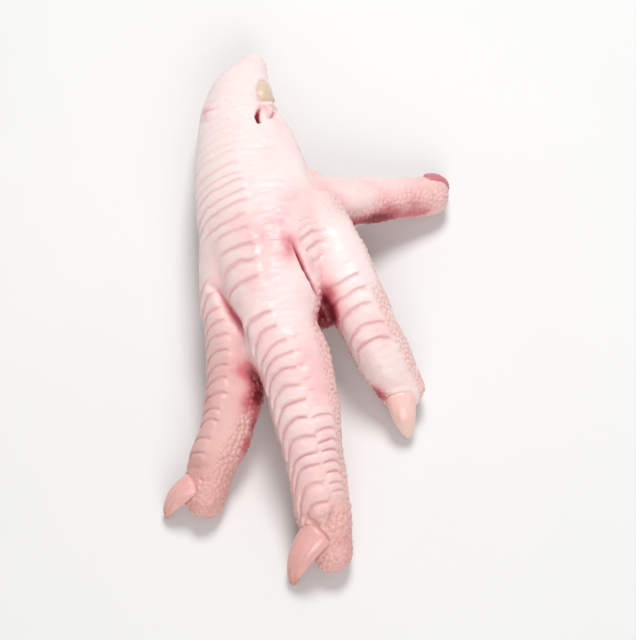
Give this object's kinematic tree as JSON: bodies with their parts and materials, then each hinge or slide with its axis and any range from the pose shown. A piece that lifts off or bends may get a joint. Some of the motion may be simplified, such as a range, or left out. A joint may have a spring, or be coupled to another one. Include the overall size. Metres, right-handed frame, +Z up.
{
  "type": "raw chicken foot",
  "caption": "Raw chicken foot cut off at the hock, with scaled pale pink skin, front toes spread, a hind toe and claws, lying on its sole.",
  "frame": {"origin": "centre of the foot's outline in plan, on the surface that it lies on", "axes": "+Z up, the shank points along +Y, the front toes along -Y and the hind toe along +X"},
  "size_m": [0.077, 0.1302, 0.0295],
  "materials": {
    "skin": "moist, scaled raw skin",
    "claw": "satin horn, cream at the tip",
    "cartilage": "wet cartilage"
  },
  "bodies": {
    "root": {"foot": "skin", "claw_middle": "claw", "claw_outer": "claw", "claw_inner": "claw", "claw_hind": "claw", "knuckle": "cartilage"}
  },
  "joints": []
}
